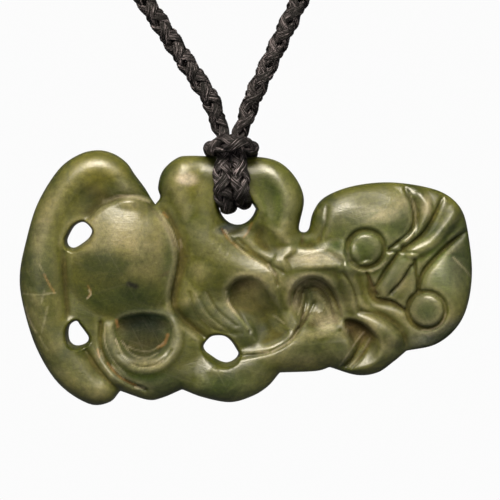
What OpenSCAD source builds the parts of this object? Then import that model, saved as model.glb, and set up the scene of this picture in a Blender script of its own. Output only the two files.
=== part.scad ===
// Hei tiki pendant: a figure carved in one piece of nephrite, worn on a black braided cord.
// The cord is hitched through the eye at the figure's shoulders and runs up round the neck.
// The origin is the nape, where the closed cord hangs. The figure faces -Y and lies along X.

/* [Stone] */
// Length of the figure, from the feet to the top of the head
stone_l = 80; // [60:1:120]
// Height of the figure as it hangs
stone_h = 45; // [34:1:66]
// Thickness at the highest carving
stone_t = 9.2; // [7:0.1:14]
// Radius that the outer edge is rounded to
rim_r = 3.6; // [2:0.1:5]
// Width of the slope worn round every pierced hole
hole_r = 0.5; // [0.4:0.1:1.5]
// Height of the plain band left at the middle of every edge
rim_band = 1.4; // [0.8:0.1:3]

/* [Eye] */
// Height of the bridge of stone that the cord is hitched round
bridge_h = 6.1; // [4:0.1:9]
// Thickness of the bridge under the cord
bridge_t = 6.4; // [5:0.1:9]
// Free width beside each of the two strands in the eye
eye_play = 0.7; // [0.5:0.05:2]
// Free height below the lower strand in the eye
eye_room = 2.1; // [1.6:0.1:5]
// How far the middle of the eye lies beside the middle of the hitch
eye_shift = 1.1; // [0.9:0.05:1.4]
// How far the two strands lean to that side in the eye
eye_lean = 0.9; // [0.7:0.05:1.1]
// How much lower the left strand lies in the eye
eye_drop = 0.85; // [0:0.05:1]
// Thickness that the braid is squeezed to in the eye, as a share
eye_squeeze = 0.85; // [0.8:0.01:0.95]

/* [Cord] */
// Diameter of the braided cord
cord_d = 3.1; // [2.4:0.1:4]
// Clearance between the cord and what it passes
cord_gap = 0.25; // [0.15:0.05:0.6]
// Length of the knot that closes the cord at the nape
knot_l = 9; // [6:0.5:14]
// Diameter of that knot
knot_d = 6.4; // [5:0.1:9]

/* [Hidden] */

// Outline of the figure on the sketch. Columns: x to the right, y down, and 1 at a sharp corner.
outline = [
    [232, 157.5, 0], [262, 157.5, 0], [282, 164, 0], [297, 180, 0], [304, 200, 0], [299, 227, 0],
    [303.5, 232.5, 0], [309, 229, 0], [313, 213, 0], [324, 198, 0], [350, 187, 0], [385, 182.5, 0],
    [420, 186, 0], [446, 194.5, 0], [462, 211, 0], [469, 240, 0], [472, 275, 0], [467, 308, 0],
    [455, 330, 0], [435, 345, 0], [407, 351, 1], [394, 362, 0], [378, 373, 0], [357, 375.5, 0],
    [330, 367.5, 1], [316, 371.5, 0], [280, 373, 1], [268, 387, 0], [252, 397, 0], [230, 403, 0],
    [203, 398, 0], [182, 390, 1], [162, 398.5, 0], [147, 400.5, 0], [120, 391.5, 1], [109, 403, 0],
    [88, 404.5, 0], [58, 384, 0], [36, 348, 0], [23, 305, 0], [20, 275, 0], [26, 243, 0],
    [38, 204, 0], [59, 170, 0], [79, 155, 0], [98, 150.5, 0], [114, 154, 0], [127, 163, 0],
    [135, 174.5, 0], [145, 188, 0], [151, 198, 0], [155.5, 204.5, 1], [160.5, 197, 0],
    [158.5, 187, 0], [163, 171, 0], [176, 159, 0], [190, 156, 0]
];

// The sketch reaches as far as the outline. The smooth line swings out half a unit below its rows.
outline_x = [for (r = outline) r[0]];
outline_y = [for (r = outline) r[1]];
sketch_left = min(outline_x);
sketch_l = max(outline_x) - sketch_left;
sketch_h = max(outline_y) - min(outline_y);
sketch_low = max(outline_y) + 0.5;

// A table's point on the sketch, in millimetres from the figure's lower left corner
function spot(x, y) = [(x - sketch_left) * stone_l / sketch_l, (sketch_low - y) * stone_h / sketch_h];
function spots(rows) = [for (r = rows) spot(r[0], r[1])];
unit = stone_l / sketch_l;

// The cord is hitched over the outline's top edge, beside the first row of its table.
hitch_row = outline[0];
sketch_hitch = hitch_row[0] - 0.5;
sketch_top_edge = hitch_row[1];

// Pierced holes beside the eye, each an outline. Columns: x, y.
holes = [
    [[80, 222.5], [85, 222], [90, 226], [92.5, 231], [89, 238], [81, 244.5], [74, 248], [69, 246],
        [67.5, 240], [71, 232], [75, 226]],
    [[77, 321], [80, 325], [84.5, 331], [88.5, 337.5], [86.5, 343], [80.5, 346], [74, 346],
        [69.5, 342], [68, 335], [69, 327], [72.5, 322.5]],
    [[213, 336], [224, 336], [231, 341], [236, 348.5], [238.5, 354], [235, 360], [227, 363.5],
        [219, 361.5], [212, 357], [205.5, 352], [203.5, 346.5], [207, 340.5]]
];

// Swellings of the front. Columns: x, y, half length, half width, turn, rise as a share of the
// thickness, and a power: 1 is a full dome with a crisp foot, 2 dies away softly.
mounds = [
    [124, 248, 64, 72, 0, 0.36, 1.3],
    [146, 358, 52, 50, 0, 0.16, 1],
    [226, 390, 58, 40, 0, 0.18, 1.5],
    [362, 348, 48, 36, 25, 0.16, 1.5],
    [358, 226, 58, 48, 8, 0.22, 1],
    [420, 250, 74, 80, 0, 0.08, 2],
    [450, 300, 38, 46, -10, 0.16, 1],
    [365, 247, 15.5, 15.5, 0, 0.05, 0.5],
    [426, 309, 17, 17, 0, 0.05, 0.5],
    [286, 345, 60, 34, 18, 0.06, 1.5]
];

// Rounded ridges of the front. Columns: rise as a share of the thickness, width on the left of the
// line as it runs, width on its right, route.
ridges = [
    [0.19, 34, 40, [[134, 176], [116, 164], [90, 165], [66, 185], [50, 218], [42, 252], [39, 286],
        [45, 325], [62, 358], [84, 384], [106, 396]]],
    [0.2, 26, 38, [[188, 160], [187, 196], [200, 234], [228, 262], [262, 274], [300, 268], [340, 263]]],
    [0.18, 30, 24, [[258, 160], [284, 184], [290, 212], [280, 242]]],
    [0.09, 24, 24, [[196, 280], [204, 308], [236, 330]]],
    [0.1, 10, 14, [[348, 270], [353, 287], [364, 310], [396, 334]]],
    [0.12, 14, 36, [[240, 361], [270, 354], [297, 342], [328, 333]]],
    [0.11, 9, 9, [[460, 206], [446, 222], [430, 241], [412, 250]]],
    [0.07, 5, 7, [[420, 193], [427, 208], [418, 228], [404, 240]]],
    [0.07, 14, 14, [[408, 260], [386, 288]]],
    [0.06, 7, 7, [[108, 326], [112, 352], [130, 370], [152, 374], [174, 362], [184, 340], [176, 320]]]
];

// Sunk hollows of the front. Columns: depth as a share of the thickness, x and y of the deepest
// place, a power: 2 is a bowl, more is a flatter floor with steeper walls, and the outline.
hollows = [
    [0.34, 144, 337, 2.2, [[112, 326], [122, 315], [145, 311], [166, 314], [174, 326], [172, 344],
        [162, 356], [145, 361], [128, 357], [117, 344]]],
    [0.34, 313, 287, 2.8, [[290, 305], [290, 290], [298, 279], [310, 274], [324, 277], [334, 288],
        [341, 305], [342, 320], [330, 331], [312, 332], [298, 322]]],
    [0.32, 357, 331, 2.6, [[343, 319], [360, 320], [375, 331], [382, 346], [376, 360], [358, 368],
        [338, 368], [350, 348]]],
    [0.24, 246, 286, 2.2, [[226, 293], [232, 281], [244, 274], [258, 277], [270, 287], [279, 305],
        [290, 330], [284, 345], [262, 346], [248, 326], [234, 310]]],
    [0.13, 374, 293, 2, [[365, 271], [373, 285], [380, 297], [398, 302], [407, 311], [390, 309],
        [373, 302], [366, 288]]],
    [0.1, 266, 243, 2, [[244, 230], [262, 222], [280, 234], [290, 246], [280, 258], [262, 250]]],
    [0.22, 234, 212, 1.2, [[211, 205], [214, 220], [223, 230], [235, 236], [248, 232], [256, 221],
        [257, 206], [234, 192]]],
    [0.22, 220, 349, 1.2, [[200, 340], [203, 355], [213, 366], [228, 368], [240, 358], [234, 344],
        [215, 338]]],
    [0.22, 82, 236, 1.2, [[71, 243], [75, 250], [85, 248], [94, 240], [95, 230], [87, 226], [77, 233]]]
];

// Carved lines of the front. Columns: depth as a share of the thickness, width on the left of the line
// as it runs, width on its right, route.
cuts = [
    [0.14, 26, 6, [[90, 216], [104, 203], [130, 195], [150, 199], [168, 215], [179, 240], [180, 262],
        [173, 298], [180, 316], [204, 337]]],
    [0.07, 8, 12, [[66, 252], [66, 285], [69, 314]]],
    [0.13, 8, 12, [[86, 350], [97, 366], [110, 381], [120, 391]]],
    [0.07, 5, 4, [[101, 322], [101, 345], [110, 365], [128, 381], [146, 389]]],
    [0.03, 3, 4, [[120, 352], [132, 362], [146, 365], [160, 361], [171, 348]]],
    [0.08, 4, 5, [[221, 228], [232, 238], [244, 248], [264, 260], [274, 270], [278, 283]]],
    [0.06, 4, 5, [[238, 238], [250, 248], [267, 260], [282, 271], [292, 268]]],
    [0.06, 5, 5, [[303, 233], [302, 242]]],
    [0.035, 4, 5, [[190, 291], [195, 310], [210, 326], [236, 333]]],
    [0.02, 3, 3, [[200, 296], [210, 313], [226, 327], [242, 332]]],
    [0.03, 3, 4, [[208, 291], [218, 308], [236, 324]]],
    [0.07, 4, 5, [[305, 288], [306, 303], [300, 326], [287, 341], [267, 351], [241, 355]]],
    [0.05, 3, 4, [[315, 303], [307, 318], [297, 331]]],
    [0.05, 4, 4, [[342, 270], [352, 285], [358, 306]]],
    [0.09, 8, 7, [[360, 310], [384, 316], [401, 331], [408, 349]]],
    [0.11, 10, 4, [[404, 188], [412, 208], [410, 228], [388, 247]]],
    [0.04, 3, 3, [[413, 199], [418, 215], [414, 232], [400, 246]]],
    [0.08, 5, 4, [[441, 198], [431, 219], [421, 233], [402, 248]]],
    [0.13, 7, 6, [[468, 230], [451, 241], [434, 257], [422, 272], [418, 290]]],
    [0.09, 5, 4, [[396, 253], [386, 268], [376, 285]]],
    [0.08, 4, 4, [[414, 259], [416, 275], [418, 290]]],
    [0.05, 3, 3, [[411, 264], [400, 279], [389, 292]]],
    [0.05, 3, 3, [[388, 250], [402, 250], [414, 251]]],
    [0.04, 6, 4, [[326, 206], [324, 222], [318, 238]]],
    [0.04, 4, 5, [[227, 288], [229, 300], [242, 316], [250, 330]]],
    [0.04, 3, 3, [[294, 302], [297, 288], [308, 280], [322, 282], [332, 293], [338, 308]]],
    [0.03, 3, 3, [[300, 306], [303, 294], [312, 287], [321, 290], [329, 301], [334, 316]]],
    [0.05, 4, 5, [[366, 334], [356, 352], [346, 366]]],
    [0.04, 3, 4, [[371, 340], [362, 356], [352, 367]]]
];

// Rings cut round the eyes. Columns: x, y, radius, half width, depth as a share of the thickness.
rings = [
    [365, 247, 18.5, 3.6, 0.11],
    [426, 309, 20, 4, 0.1]
];

// Full height of the plain front and back, as shares of the thickness
front_share = 0.25;
back_share = 0.39;
// Cells of the figure's mesh along its length, and the share of a cell within which a corner
// moves onto the edge
cells = 80;
pull = 0.4;

// The two strands lie side by side, a hair apart, and are squeezed together in the eye.
strand_x = cord_d / 2 + 0.05;
eye_r = eye_squeeze * cord_d / 2;
eye_x = eye_r + 0.04;
eye_w = 2 * (eye_x + eye_r + eye_play);
eye_h = cord_gap + 2 * eye_r + eye_drop + eye_room;
eye_corner = 0.3 * eye_h;
top_edge = spot(0, sketch_top_edge)[1];
hitch_u = spot(sketch_hitch, 0)[0];
eye_mid = [hitch_u + eye_shift, top_edge - bridge_h - eye_corner];

// A smooth closed line through the rows of a table, broken where their third column is 1
function closed_line(rows, steps) = let (n = len(rows), p = spots(rows)) [
    for (i = [0 : n - 1], k = [0 : steps - 1])
        let (t = k / steps, j = (i + 1) % n, a = p[i], b = p[j],
            ta = rows[i][2] == 1 ? (b - a) : (b - p[(i + n - 1) % n]) / 2,
            tb = rows[j][2] == 1 ? (b - a) : (p[(i + 2) % n] - a) / 2)
        a * (2 * t ^ 3 - 3 * t ^ 2 + 1) + ta * (t ^ 3 - 2 * t ^ 2 + t)
            + b * (3 * t ^ 2 - 2 * t ^ 3) + tb * (t ^ 3 - t ^ 2)
];

// A smooth open line through points, of any number of dimensions
function open_line(p, steps) = let (n = len(p)) [
    for (i = [0 : n - 2], k = [0 : (i == n - 2 ? steps : steps - 1)])
        let (t = k / steps, a = p[i], b = p[i + 1],
            ta = (b - p[max(i - 1, 0)]) / (i == 0 ? 1 : 2),
            tb = (p[min(i + 2, n - 1)] - a) / (i == n - 2 ? 1 : 2))
        a * (2 * t ^ 3 - 3 * t ^ 2 + 1) + ta * (t ^ 3 - 2 * t ^ 2 + t)
            + b * (3 * t ^ 2 - 2 * t ^ 3) + tb * (t ^ 3 - t ^ 2)
];

// Nearest offset from a point to the stretch a to b
function to_stretch(p, a, b) = let (e = b - a, w = p - a, t = max(0, min(1, w * e / (e * e)))) w - e * t;
function crosses(p, a, b) = (a[1] > p[1]) != (b[1] > p[1])
    && p[0] < (b[0] - a[0]) * (p[1] - a[1]) / (b[1] - a[1]) + a[0] ? 1 : 0;

// Distance into a closed line: above 0 inside, below 0 outside
function inside_line(p, line) = let (n = len(line),
        near = min([for (i = [0 : n - 1]) let (o = to_stretch(p, line[i], line[(i + 1) % n])) o * o]),
        hits = [for (i = [0 : n - 1]) crosses(p, line[i], line[(i + 1) % n])])
    (hits * [for (h = hits) 1]) % 2 == 1 ? sqrt(near) : -sqrt(near);

// A point seen from a table row's middle, along its turned axes
function in_row(p, r) = let (o = p - spot(r[0], r[1])) [
    o[0] * cos(r[4]) + o[1] * sin(r[4]), o[1] * cos(r[4]) - o[0] * sin(r[4])];
function oval_share(p, r) = let (o = in_row(p, r)) norm([o[0] / (r[2] * unit), o[1] / (r[3] * unit)]);
// The eye is flat under the bridge, with rounded corners, and a half oval below
function outside_eye(p) = let (o = p - eye_mid, a = abs(o[0]) - eye_w / 2 + eye_corner)
    o[1] > 0 ? norm([max(a, 0), o[1]]) + min(max(a, o[1]), 0) - eye_corner
    : (norm([2 * o[0] / eye_w, o[1] / (eye_h - eye_corner)]) - 1) * eye_w / 2;
hole_lines = [for (h = holes) closed_line(h, 3)];
function to_holes(p) = min(outside_eye(p), min([for (line = hole_lines) -inside_line(p, line)]));

// Quarter round from 0 at an edge to 1 at the radius
function rounding(d, r) = d >= r ? 1 : sqrt(max(0, 1 - (1 - d / r) ^ 2));
// Nearly straight slope from 0 at a hole's edge to 1 at its width
function worn_slope(d, w) = d >= w ? 1 : max(0, d / w) ^ 0.8;

// Signed offset from an open line: the distance, below 0 on its right
function from_line(p, line) = let (
        o = [for (i = [0 : len(line) - 2]) to_stretch(p, line[i], line[i + 1])],
        q = [for (v = o) v * v], best = min(q), i = search(best, q)[0], e = line[i + 1] - line[i])
    sqrt(best) * (e[0] * o[i][1] - e[1] * o[i][0] < 0 ? -1 : 1);

// The box that a line and a width round it reach, so that most of the carving is passed over quickly
function reach(line, w) = [for (k = [0, 1]) let (v = [for (p = line) p[k]]) [min(v) - w, max(v) + w]];
function in_reach(p, r) = p[0] > r[0][0] && p[0] < r[0][1] && p[1] > r[1][0] && p[1] < r[1][1];

function mound_at(p, r) = let (s = oval_share(p, r)) s >= 1 ? 0 : r[5] * (1 - s * s) ^ r[6];
function ring_at(p, r) = let (s = abs(norm(p - spot(r[0], r[1])) / unit - r[2]) / r[3])
    s >= 1 ? 0 : r[4] * (1 - s * s);
function hollow_at(p, row, line) = let (d = inside_line(p, line), a = norm(p - spot(row[1], row[2])))
    d <= 0 ? 0 : row[0] * (1 - (a / (a + d)) ^ row[3]);
function ridge_at(p, row, line) = let (d = from_line(p, line), s = abs(d) / (row[d < 0 ? 2 : 1] * unit))
    s >= 1 ? 0 : row[0] * (1 - s * s) ^ 1.5;
// A carved line is drawn at least a cell wide on each side, so that no cell misses it.
function cut_at(p, row, line) = let (d = from_line(p, line),
        s = abs(d) / max(row[d < 0 ? 2 : 1] * unit, stone_l / cells))
    s >= 1 ? 0 : row[0] * (1 - s) ^ 2;
function total(list) = list * [for (v = list) 1];
function mid_cut(a, b, da, db) = a + (b - a) * da / (da - db);

// The figure as one solid, face up, with its corner at the origin. It is meshed on a grid of cells
// over its plan: corners near an edge move onto it, and cells that an edge crosses are cut there.
module figure() {
    edge_line = closed_line(outline, 3);
    hollow_lines = [for (h = hollows) closed_line(h[4], 2)];
    hollow_reach = [for (line = hollow_lines) reach(line, 0)];
    cut_lines = [for (c = cuts) open_line(spots(c[3]), 2)];
    ridge_lines = [for (r = ridges) open_line(spots(r[3]), 2)];
    function reaches(rows, lines) = [for (i = [0 : len(rows) - 1])
        reach(lines[i], max(rows[i][1] * unit, rows[i][2] * unit, stone_l / cells))];
    cut_reach = reaches(cuts, cut_lines);
    ridge_reach = reaches(ridges, ridge_lines);

    // The carved front, as a share of the thickness
    function carving(p) = front_share + total([for (r = mounds) mound_at(p, r)])
        + total([for (i = [0 : len(ridges) - 1])
            in_reach(p, ridge_reach[i]) ? ridge_at(p, ridges[i], ridge_lines[i]) : 0])
        - total([for (r = rings) ring_at(p, r)])
        - total([for (i = [0 : len(hollows) - 1])
            in_reach(p, hollow_reach[i]) ? hollow_at(p, hollows[i], hollow_lines[i]) : 0])
        - total([for (i = [0 : len(cuts) - 1])
            in_reach(p, cut_reach[i]) ? cut_at(p, cuts[i], cut_lines[i]) : 0]);

    // The bridge is sunk to one depth under the cord, and blends into the carving beside it.
    function under_hitch(p) = let (a = abs(p[0] - hitch_u) - 2 * strand_x - cord_gap,
            b = eye_mid[1] + eye_corner - 1 - p[1], s = min(max(a, b, 0) / (2 * cord_d), 1))
        1 - s * s * (3 - 2 * s);
    function blended(p, top) = let (w = under_hitch(p)) stone_t * top * (1 - w) + bridge_t / 2 * w;

    cell = stone_l / cells;
    nx = ceil(cells) + 2;
    ny = ceil(stone_h / cell) + 2;
    function corner(i, j) = [(i - 1) * cell, (j - 1) * cell];
    rim_in = [for (j = [0 : ny]) [for (i = [0 : nx]) inside_line(corner(i, j), edge_line)]];
    hole_in = [for (j = [0 : ny]) [for (i = [0 : nx]) to_holes(corner(i, j))]];
    depth_in = [for (j = [0 : ny]) [for (i = [0 : nx]) min(rim_in[j][i], hole_in[j][i])]];
    side = [for (row = depth_in) [for (d = row) abs(d) < pull * cell ? 0 : sign(d)]];

    // A corner near an edge, moved down the slope of the distance onto the edge
    function pulled(p, d, by_hole) = let (h = cell / 20,
            g = [for (q = [[h, 0], [0, h]]) (by_hole ? to_holes(p + q) : inside_line(p + q, edge_line)) - d])
        p - g * d / max(norm(g), h / 10);

    // Every point of the plan that may be used: kind 0 is a corner, kinds 1 and 2 are where an edge
    // crosses the cell side to the next corner along x or y. Empty places are undef.
    function plan_point(kind, i, j) = let (p = corner(i, j), d = depth_in[j][i], s = side[j][i])
        kind == 0 ? (s == 1 ? p : s == 0 ? pulled(p, d, hole_in[j][i] < rim_in[j][i]) : undef)
        : let (i2 = kind == 1 ? i + 1 : i, j2 = kind == 2 ? j + 1 : j)
            i2 > nx || j2 > ny || s * side[j2][i2] != -1 ? undef
            : mid_cut(p, corner(i2, j2), d, depth_in[j2][i2]);
    function key(kind, i, j) = (kind * (ny + 1) + j) * (nx + 1) + i;
    plan = [for (kind = [0 : 2], j = [0 : ny], i = [0 : nx]) plan_point(kind, i, j)];
    place = [for (i = 0, s = 0; i < len(plan); s = s + (is_undef(plan[i]) ? 0 : 1), i = i + 1) s];

    // Heights of the front and back: the carving, rounded down to the plain band at every edge
    function heights(kind, i, j) = kind > 0 || side[j][i] < 1 ? [rim_band / 2, rim_band / 2]
        : let (p = corner(i, j), r = rounding(rim_in[j][i], rim_r) * worn_slope(hole_in[j][i], hole_r))
            [for (top = [carving(p), back_share]) rim_band / 2 + (blended(p, top) - rim_band / 2) * r];
    used = [for (kind = [0 : 2], j = [0 : ny], i = [0 : nx]) let (p = plan[key(kind, i, j)])
        if (!is_undef(p)) [p, heights(kind, i, j)]];
    count = len(used);

    // Corners of a cell in turn, with the step to the neighbour across the side that starts there
    round_cell = [[0, 0, 0, -1], [1, 0, 1, 0], [1, 1, 0, 1], [0, 1, -1, 0]];
    function corner_side(i, j, k) = side[j + round_cell[k % 4][1]][i + round_cell[k % 4][0]];
    function is_filled(i, j) = i >= 0 && j >= 0 && i < nx && j < ny
        && max([for (k = [0 : 3]) corner_side(i, j, k)]) == 1;
    function side_key(i, j, k) = k == 0 ? key(1, i, j) : k == 1 ? key(2, i + 1, j)
        : k == 2 ? key(1, i, j + 1) : key(2, i, j);

    // A cell's polygon. Each entry is a point and 1 where an open edge runs on to the next point.
    function cell_ring(i, j) = [for (k = [0 : 3])
        let (a = corner_side(i, j, k), b = corner_side(i, j, k + 1), c = round_cell[k])
        each [
            if (a >= 0) [place[key(0, i + c[0], j + c[1])],
                a == 0 && (b == -1 || (b == 0 && !is_filled(i + c[2], j + c[3]))) ? 1 : 0],
            if (a * b == -1) [place[side_key(i, j, k)], a == 1 ? 1 : 0]
        ]];

    // A polygon's triangles. One with four sides is split along its flatter diagonal.
    function fan(r, face) = let (n = len(r), z = [for (v = r) used[v[0]][1][face]],
            s = n == 4 && abs(z[1] - z[3]) < abs(z[0] - z[2]) ? 1 : 0)
        [for (k = [1 : n - 2]) [r[s][0], r[(s + k) % n][0], r[(s + k + 1) % n][0]]];

    faces = [for (j = [0 : ny - 1], i = [0 : nx - 1]) if (is_filled(i, j))
        let (r = cell_ring(i, j), n = len(r)) each concat(
            [for (f = fan(r, 0)) [f[2], f[1], f[0]]],
            [for (f = fan(r, 1)) [f[0] + count, f[1] + count, f[2] + count]],
            [for (k = [0 : n - 1]) if (r[k][1] == 1) each let (a = r[k][0], b = r[(k + 1) % n][0])
                [[a, b, b + count], [a, b + count, a + count]]])];
    points = [for (face = [0, 1], u = used) [u[0][0], u[0][1], face == 0 ? u[1][0] : -u[1][1]]];
    polyhedron(points, faces, convexity = 12);
}

// The stone hangs with its hitch at hang, its face towards -Y.
hang = [10, -120, -168];
module tiki() {
    color("darkolivegreen")
        translate(hang)
            rotate([90, 0, 0])
                translate([-hitch_u, -top_edge, 0])
                    figure();
}

// A tube swept along route points, with its end faces square to two given directions. Its frame
// turns only as much as the route does.
sides = 8;
function tangent(p, i, start, end) = let (last = len(p) - 1,
        v = i == 0 ? start : i == last ? end : p[i + 1] - p[i - 1])
    v / norm(v);
function carried(n, t) = let (v = n - t * (n * t)) v / norm(v);
function normals(t, n, i = 0, done = []) = i == len(t) ? done
    : let (m = carried(n, t[i])) normals(t, m, i + 1, concat(done, [m]));
module tube(rows, first_normal, start, end) {
    p = [for (r = rows) [r[0], r[1], r[2]]];
    t = [for (i = [0 : len(p) - 1]) tangent(p, i, start, end)];
    n = normals(t, first_normal);
    last = len(p) - 1;
    points = [for (i = [0 : last], k = [0 : sides - 1]) let (a = 360 * (k + 0.5) / sides)
        p[i] + (n[i] * cos(a) + cross(t[i], n[i]) * sin(a)) * rows[i][3] * cord_d / 2];
    walls = [for (i = [0 : last - 1], k = [0 : sides - 1])
        let (a = i * sides + k, b = i * sides + (k + 1) % sides)
        each [[a, a + sides, b + sides], [a, b + sides, b]]];
    polyhedron(points, concat(walls, [[for (k = [0 : sides - 1]) k]],
        [[for (k = [sides - 1 : -1 : 0]) last * sides + k]]), convexity = 8);
}

// The right half of the hitch, from the neck cord down the front, round the bridge and back over
// the top to the middle of the bar. Columns: x, y and z from the top edge, and how far the
// braid is squeezed.
leg_y = bridge_t / 2 + cord_gap + cord_d / 2;
squeezed = 0.72;
snug = squeezed * cord_d / 2;
bar_z = cord_gap + snug + 0.35;
tuck_x = snug + 0.08;
side_x = 3 * snug + 0.3;
tail_y = -4.2;
bar_y = tail_y - 2 * snug - 0.3;
v_end = 10.2;
function half_hitch(s, end_x) = let (in_x = eye_lean + s * eye_x, turn_x = (in_x + s * strand_x) / 2,
        in_z = -bridge_h - cord_gap - eye_r - (s < 0 ? eye_drop : 0), half_in = (1 + eye_squeeze) / 2) [
    [s * end_x, tail_y, v_end, 1],
    [s * (end_x * 0.45 + 0.75), tail_y, 6.4, 0.9],
    [s * (tuck_x + 0.12), tail_y, 3.9, 0.8],
    [s * tuck_x, tail_y, bar_z - 0.4, squeezed],
    [s * (tuck_x + 0.26), (tail_y - leg_y) / 2 - 0.1, -1, 0.9],
    [s * strand_x, -leg_y, -3, 1],
    [s * strand_x, -leg_y, 0.8 - bridge_h, 1],
    [turn_x, 0.9 - leg_y, in_z + 0.6, half_in],
    [in_x, 2.9 - leg_y, in_z, eye_squeeze],
    [in_x, leg_y - 2.9, in_z, eye_squeeze],
    [turn_x, leg_y - 0.9, in_z + 0.6, half_in],
    [s * strand_x, leg_y, 0.8 - bridge_h, 1],
    [s * (strand_x + 0.15), leg_y, -3, 0.95],
    [s * (side_x - 0.5), leg_y - 1, -0.1, 0.85],
    [s * side_x, leg_y - 3.2, bar_z - 0.2, squeezed],
    [s * side_x, tail_y + 1.5, bar_z, squeezed],
    [s * (side_x - 0.4), bar_y + 1.1, bar_z + 0.2, 0.78],
    [s * tuck_x * 1.1, bar_y - 0.25, bar_z + 1.1, 0.92]
];
left_end = 3.4;
right_end = 3.6;
left_rise = [-0.67, 0, 1];
right_rise = [0.48, 0, 1];
module hitch() {
    left = open_line(half_hitch(-1, left_end), 2);
    right = open_line(half_hitch(1, right_end), 2);
    color("black")
        translate(hang)
            tube(concat(left, [for (i = [len(right) - 1 : -1 : 0]) right[i]]), [0, 1, 0],
                -left_rise, right_rise);
}

// Routes of the neck cord, from the hitch to the knot at the nape. Columns: x, y, z.
left_route = [
    [-8, -124, -136], [-20, -124, -118], [-34, -123.5, -98], [-47, -121, -79], [-59, -113, -61],
    [-68, -98, -45], [-73, -78, -32], [-71, -56, -20], [-61, -34, -10.5], [-44, -16.5, -4], [-24, -5, -1]
];
right_route = [
    [24, -124, -136], [34, -124, -115], [44, -123.5, -95], [53, -121, -77], [62, -113, -60],
    [69, -98, -45], [73, -78, -32], [71, -56, -20], [61, -34, -10.5], [44, -16.5, -4], [24, -5, -1]
];
function neck_cord(end_x, route, s) = [for (p = open_line(concat(
        [hang + [end_x, tail_y, v_end]], route, [[s * knot_l / 2, 0, 0]]), 2)) [p[0], p[1], p[2], 1]];
module cord_left() {
    color("black") tube(neck_cord(-left_end, left_route, -1), [0, 1, 0], left_rise, [1, 0, 0]);
}
module cord_right() {
    color("black") tube(neck_cord(right_end, right_route, 1), [0, 1, 0], right_rise, [-1, 0, 0]);
}

// The closing knot: a barrel with rounded ends, lying along X
module nape_knot() {
    round_end = knot_d / 4;
    color("black")
        rotate([0, 90, 0])
            rotate_extrude($fn = 32)
                polygon(concat(
                    [[0, -knot_l / 2]],
                    [for (a = [-90 : 30 : 0]) [knot_d / 2 - round_end + round_end * cos(a),
                        -knot_l / 2 + round_end + round_end * sin(a)]],
                    [for (a = [0 : 30 : 90]) [knot_d / 2 - round_end + round_end * cos(a),
                        knot_l / 2 - round_end + round_end * sin(a)]],
                    [[0, knot_l / 2]]));
}

tiki();
hitch();
cord_left();
cord_right();
nape_knot();
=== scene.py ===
import math

import bpy
import numpy as np
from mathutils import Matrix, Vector


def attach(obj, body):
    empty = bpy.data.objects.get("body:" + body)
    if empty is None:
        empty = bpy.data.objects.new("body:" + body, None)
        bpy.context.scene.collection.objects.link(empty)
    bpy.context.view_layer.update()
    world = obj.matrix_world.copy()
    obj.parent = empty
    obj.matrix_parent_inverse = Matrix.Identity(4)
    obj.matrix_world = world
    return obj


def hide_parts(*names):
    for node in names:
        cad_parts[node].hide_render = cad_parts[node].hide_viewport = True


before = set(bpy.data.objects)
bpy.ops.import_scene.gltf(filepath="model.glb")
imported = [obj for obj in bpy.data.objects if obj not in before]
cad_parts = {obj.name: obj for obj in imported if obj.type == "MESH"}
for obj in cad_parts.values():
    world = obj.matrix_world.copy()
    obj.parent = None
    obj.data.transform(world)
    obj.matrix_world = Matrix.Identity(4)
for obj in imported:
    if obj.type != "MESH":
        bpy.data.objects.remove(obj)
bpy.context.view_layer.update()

# The view
# The pendant is seen straight on from a little above, through a long lens. The picture is as
# wide as the stone and a narrow margin on both sides of it.
MM = 0.001
aim = Vector((13.3, -120, -184.4)) * MM
picture_width = 88.5 * MM
lens = 180
sensor = 36
view_rise = math.radians(5)
distance = picture_width * lens / sensor
camera = bpy.data.objects.new("camera", bpy.data.cameras.new("camera"))
bpy.context.scene.collection.objects.link(camera)
camera.data.lens = lens
camera.data.sensor_width = sensor
camera.data.clip_start = 0.01
camera.location = aim + distance * Vector((0, -math.cos(view_rise), math.sin(view_rise)))
camera.rotation_euler = (math.radians(90) - view_rise, 0, 0)
bpy.context.scene.camera = camera
bpy.context.scene.view_settings.view_transform = "Standard"

# The braided cord
# One length of black waxed thread, plaited round from four strands. Both of its ends meet in the
# knot at the nape, and its middle is hitched round the bridge of the stone.
cord_d = 3.1
cord_gap = 0.25
bridge_h = 6.1
bridge_t = 6.4
knot_l = 9

# The hitch, measured from the top of the bridge: how its two strands lie in the eye and round the
# bridge, the bar that crosses them in front, the way in under the bar, and the ends of the V,
# where the neck cord begins. Squeezes are shares of the cord's own girth.
eye_lean = 0.9
eye_drop = 0.85
eye_squeeze = 0.85
strand_x = cord_d / 2 + 0.05
eye_r = eye_squeeze * cord_d / 2
eye_x = eye_r + 0.04
leg_y = bridge_t / 2 + cord_gap + cord_d / 2
squeezed = 0.72
snug = squeezed * cord_d / 2
bar_z = cord_gap + snug + 0.35
tuck_x = snug + 0.08
side_x = 3 * snug + 0.3
tail_y = -4.2
bar_y = tail_y - 2 * snug - 0.3
v_end = 10.2
left_end = 3.4
right_end = 3.6

# Where the top of the stone's bridge hangs from the nape, and the cord's chosen ways up to the
# nape. These are in millimetres, as all sizes of the pieces are.
hang = np.array([10, -120, -168])
left_route = [
    (-8, -124, -136), (-20, -124, -118), (-34, -123.5, -98), (-47, -121, -79), (-59, -113, -61),
    (-68, -98, -45), (-73, -78, -32), (-71, -56, -20), (-61, -34, -10.5), (-44, -16.5, -4),
    (-24, -5, -1),
]
right_route = [
    (24, -124, -136), (34, -124, -115), (44, -123.5, -95), (53, -121, -77), (62, -113, -60),
    (69, -98, -45), (73, -78, -32), (71, -56, -20), (61, -34, -10.5), (44, -16.5, -4), (24, -5, -1),
]


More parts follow.
